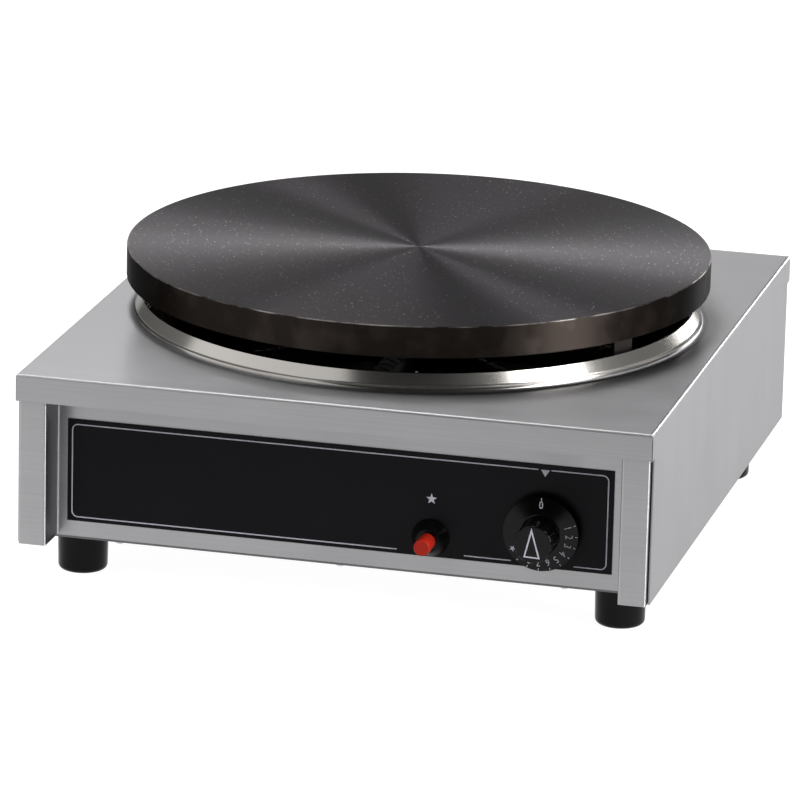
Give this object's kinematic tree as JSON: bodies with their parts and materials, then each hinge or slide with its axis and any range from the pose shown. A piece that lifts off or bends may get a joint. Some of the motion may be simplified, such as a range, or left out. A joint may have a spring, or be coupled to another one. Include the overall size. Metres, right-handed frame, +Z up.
{
  "type": "gas crepe maker",
  "caption": "Countertop gas crepe maker: round cast iron plate over a star burner in a folded stainless casing, with a gas knob, a spark igniter and levelling feet.",
  "frame": {"origin": "on the floor under the middle of the casing", "axes": "+Z up, -Y towards the controls, +X to the right as the user stands"},
  "size_m": [0.431, 0.4664, 0.1962],
  "materials": {
    "brushed_stainless": "fine horizontal brushing",
    "plain_steel": "plain mill finish",
    "label_film": "satin black printed film",
    "foot_plastic": "moulded gloss black",
    "plate_iron": "lathe-turned and seasoned",
    "burner_iron": "raw casting",
    "heated_steel": "dark, heat-stained",
    "brass": "machined",
    "valve_alloy": "die-cast",
    "copper": "drawn tube",
    "knob_plastic": "moulded gloss black",
    "igniter_plastic": "moulded gloss black",
    "button_plastic": "moulded red",
    "ceramic": "fired insulator",
    "lead_sleeve": "silicone sleeve"
  },
  "bodies": {
    "casing": {"top_cover": "brushed_stainless", "front_frame": "brushed_stainless", "rear_frame": "brushed_stainless", "base_plate": "plain_steel", "base_screws": "plain_steel", "cover_screws": "plain_steel", "control_label": "label_film", "foot_nuts": "plain_steel", "griddle_plate": "plate_iron", "plate_lugs": "heated_steel", "plate_dowels": "plain_steel", "lug_screws": "plain_steel", "burner_bowl": "heated_steel", "burner": "burner_iron", "burner_bolts": "plain_steel", "mixing_tube": "burner_iron", "injector_holder": "brass", "injector": "brass", "gas_valve": "valve_alloy", "valve_bracket": "plain_steel", "valve_screws": "plain_steel", "valve_spring": "plain_steel", "igniter_bezel": "igniter_plastic", "igniter_body": "igniter_plastic", "igniter_nut": "igniter_plastic", "igniter_spring": "plain_steel", "ignition_lead": "lead_sleeve", "electrode_insulator": "ceramic", "electrode_rod": "plain_steel", "pilot_bracket": "plain_steel", "pilot_burner": "brass", "pilot_pipe": "copper", "thermocouple": "copper", "thermocouple_lead": "copper", "thermostat_bulb": "copper", "thermostat_capillary": "copper", "bulb_clips": "plain_steel", "gas_inlet": "brass", "inlet_locknut": "brass", "inlet_pipe": "copper", "burner_pipe": "copper", "pipe_nuts": "brass"},
    "plunger": {"valve_plunger": "brass"},
    "knob": {"valve_spindle": "plain_steel", "gas_knob": "knob_plastic", "knob_clip": "plain_steel"},
    "button": {"igniter_button": "button_plastic"},
    "foot_front_left": {"foot_front_left": "foot_plastic"},
    "foot_front_right": {"foot_front_right": "foot_plastic"},
    "foot_rear_left": {"foot_rear_left": "foot_plastic"},
    "foot_rear_right": {"foot_rear_right": "foot_plastic"}
  },
  "joints": [
    {"name": "knob_push", "type": "slide", "parent": "casing", "child": "plunger", "axis": [0, 1, 0], "range_m": [0, 0.004], "stiffness_N_per_m": 2500},
    {"name": "knob_turn", "type": "hinge", "parent": "plunger", "child": "knob", "pos_m": [0.1382, -0.2015, 0.0673], "axis": [0, -1, 0], "range_deg": [0, 238.5]},
    {"name": "igniter_press", "type": "slide", "parent": "casing", "child": "button", "axis": [0, 1, 0], "range_m": [0, 0.007], "stiffness_N_per_m": 1500},
    {"name": "foot_front_left_level", "type": "slide", "parent": "casing", "child": "foot_front_left", "axis": [0, 0, -1], "range_m": [0, 0.008]},
    {"name": "foot_front_right_level", "type": "slide", "parent": "casing", "child": "foot_front_right", "axis": [0, 0, -1], "range_m": [0, 0.008]},
    {"name": "foot_rear_left_level", "type": "slide", "parent": "casing", "child": "foot_rear_left", "axis": [0, 0, -1], "range_m": [0, 0.008]},
    {"name": "foot_rear_right_level", "type": "slide", "parent": "casing", "child": "foot_rear_right", "axis": [0, 0, -1], "range_m": [0, 0.008]}
  ]
}
